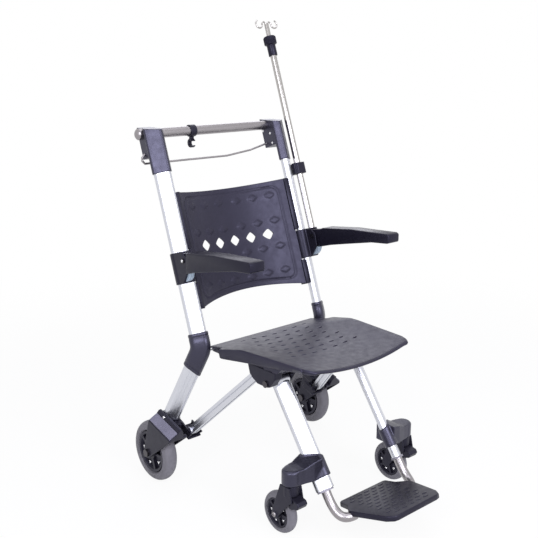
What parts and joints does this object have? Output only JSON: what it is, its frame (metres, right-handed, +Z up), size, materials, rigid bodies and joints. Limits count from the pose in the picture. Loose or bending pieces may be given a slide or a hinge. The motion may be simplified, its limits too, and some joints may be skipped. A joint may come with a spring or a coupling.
{
  "type": "stair chair",
  "caption": "Folding stair chair with large rear wheels, swivel casters, push bar, folding armrests, telescopic footrest and an infusion pole.",
  "frame": {"origin": "on the floor under the middle of the chair's outline", "axes": "+X across the chair towards the infusion pole, +Y towards the rear, so the sitter faces -Y, +Z up"},
  "size_m": [0.669, 0.8826, 1.2835],
  "materials": {
    "alloy": "satin anodised",
    "chrome": "polished",
    "steel": "brushed",
    "tyre": "smooth grey rubber",
    "shell": "fine texture",
    "grip": "satin",
    "black": "satin",
    "bush": "satin",
    "stop": "satin"
  },
  "bodies": {
    "frame": {"upright_left": "alloy", "upright_right": "alloy", "elbow_left": "black", "elbow_right": "black", "rear_leg_left": "alloy", "rear_leg_right": "alloy", "rear_bracket_left": "black", "rear_bracket_right": "black", "rear_axles": "steel", "top_cap_left": "grip", "top_cap_right": "grip", "push_bar": "steel", "bar_plugs": "steel", "cap_screws": "steel", "back_panel": "shell", "arm_bracket_left": "black", "arm_bracket_right": "black", "arm_stops": "stop", "arm_pins": "steel", "pole_tube": "chrome", "pole_clamp": "black", "strut_pins": "steel", "seat_pins": "steel"},
    "seat": {"seat_panel": "shell"},
    "strut_frame": {"strut_left": "alloy", "strut_right": "alloy", "leg_bracket_left": "black", "leg_bracket_right": "black", "cross_tube": "alloy", "leg_pins": "steel"},
    "front_frame": {"front_leg_left": "alloy", "front_leg_right": "alloy", "leg_bushes": "bush", "caster_bracket_left": "black", "caster_bracket_right": "black"},
    "footrest": {"foot_tube_left": "chrome", "foot_tube_right": "chrome", "foot_pins": "chrome"},
    "footplate": {"footplate": "black"},
    "pole_slider": {"pole_rod": "chrome", "pole_hook": "chrome"},
    "pole_collar": {"pole_collar": "grip"},
    "release_bail": {"release_bail": "steel"},
    "bar_clip": {"bar_clip": "black"},
    "rear_wheel_left": {"rear_tyre_left": "tyre", "rear_hub_left": "black"},
    "caster_swivel_left": {"caster_fork_left": "black"},
    "caster_wheel_left": {"caster_tyre_left": "tyre", "caster_hub_left": "black"},
    "caster_brake_left": {"caster_brake_left": "black"},
    "armrest_left": {"armrest_left": "grip"},
    "rear_wheel_right": {"rear_tyre_right": "tyre", "rear_hub_right": "black"},
    "caster_swivel_right": {"caster_fork_right": "black"},
    "caster_wheel_right": {"caster_tyre_right": "tyre", "caster_hub_right": "black"},
    "caster_brake_right": {"caster_brake_right": "black"},
    "armrest_right": {"armrest_right": "grip"}
  },
  "joints": [
    {"name": "seat_fold", "type": "hinge", "parent": "frame", "child": "seat", "pos_m": [0, 0.13455, 0.405], "axis": [-1, 0, 0], "range_deg": [0, 75]},
    {"name": "strut_swing", "type": "hinge", "parent": "frame", "child": "strut_frame", "pos_m": [0, 0.16705, 0.1685], "axis": [-1, 0, 0], "range_deg": [0, 24.2]},
    {"name": "leg_fold", "type": "hinge", "parent": "strut_frame", "child": "front_frame", "pos_m": [0, -0.08145, 0.368], "axis": [1, 0, 0], "range_deg": [0, 48.2]},
    {"name": "footrest_slide", "type": "slide", "parent": "front_frame", "child": "footrest", "axis": [0, -0.5816, -0.8135], "range_m": [0, 0.05]},
    {"name": "footplate_fold", "type": "hinge", "parent": "footrest", "child": "footplate", "pos_m": [0, -0.32389, 0.0879], "axis": [-1, 0, 0], "range_deg": [0, 95]},
    {"name": "pole_slide", "type": "slide", "parent": "frame", "child": "pole_slider", "axis": [0, 0.3338, 0.9426], "range_m": [0, 0.25]},
    {"name": "collar_twist", "type": "hinge", "parent": "frame", "child": "pole_collar", "pos_m": [0.258, 0.13124, 0.41501], "axis": [0, 0.3338, 0.9426], "range_deg": [0, 90]},
    {"name": "bail_pull", "type": "hinge", "parent": "frame", "child": "release_bail", "pos_m": [0, 0.35755, 0.918], "axis": [1, 0, 0], "range_deg": [0, 35], "stiffness_Nm_per_rad": 0.4},
    {"name": "clip_swing", "type": "hinge", "parent": "frame", "child": "bar_clip", "pos_m": [0, 0.37255, 0.972], "axis": [1, 0, 0], "range_deg": [-60, 60]},
    {"name": "rear_wheel_spin_left", "type": "hinge", "parent": "frame", "child": "rear_wheel_left", "pos_m": [-0.2985, 0.26955, 0.0875], "axis": [1, 0, 0], "continuous": true},
    {"name": "armrest_fold_left", "type": "hinge", "parent": "frame", "child": "armrest_left", "pos_m": [-0.235, 0.18155, 0.653], "axis": [-1, 0, 0], "range_deg": [0, 75]},
    {"name": "caster_turn_left", "type": "hinge", "parent": "front_frame", "child": "caster_swivel_left", "pos_m": [-0.21, -0.20845, 0.15], "axis": [0, 0, 1], "continuous": true},
    {"name": "caster_spin_left", "type": "hinge", "parent": "caster_swivel_left", "child": "caster_wheel_left", "pos_m": [-0.21, -0.17045, 0.0555], "axis": [1, 0, 0], "continuous": true},
    {"name": "caster_brake_press_left", "type": "hinge", "parent": "caster_swivel_left", "child": "caster_brake_left", "pos_m": [-0.21, -0.22645, 0.114], "axis": [1, 0, 0], "range_deg": [0, 18]},
    {"name": "rear_wheel_spin_right", "type": "hinge", "parent": "frame", "child": "rear_wheel_right", "pos_m": [0.2985, 0.26955, 0.0875], "axis": [1, 0, 0], "continuous": true},
    {"name": "armrest_fold_right", "type": "hinge", "parent": "frame", "child": "armrest_right", "pos_m": [0.235, 0.18155, 0.653], "axis": [-1, 0, 0], "range_deg": [0, 75]},
    {"name": "caster_turn_right", "type": "hinge", "parent": "front_frame", "child": "caster_swivel_right", "pos_m": [0.21, -0.20845, 0.15], "axis": [0, 0, 1], "continuous": true},
    {"name": "caster_spin_right", "type": "hinge", "parent": "caster_swivel_right", "child": "caster_wheel_right", "pos_m": [0.21, -0.17045, 0.0555], "axis": [1, 0, 0], "continuous": true},
    {"name": "caster_brake_press_right", "type": "hinge", "parent": "caster_swivel_right", "child": "caster_brake_right", "pos_m": [0.21, -0.22645, 0.114], "axis": [1, 0, 0], "range_deg": [0, 18]}
  ],
  "couplings": [
    {"joint": "strut_swing", "follows": "seat_fold", "ratio": 0.32},
    {"joint": "leg_fold", "follows": "seat_fold", "ratio": 0.64}
  ]
}
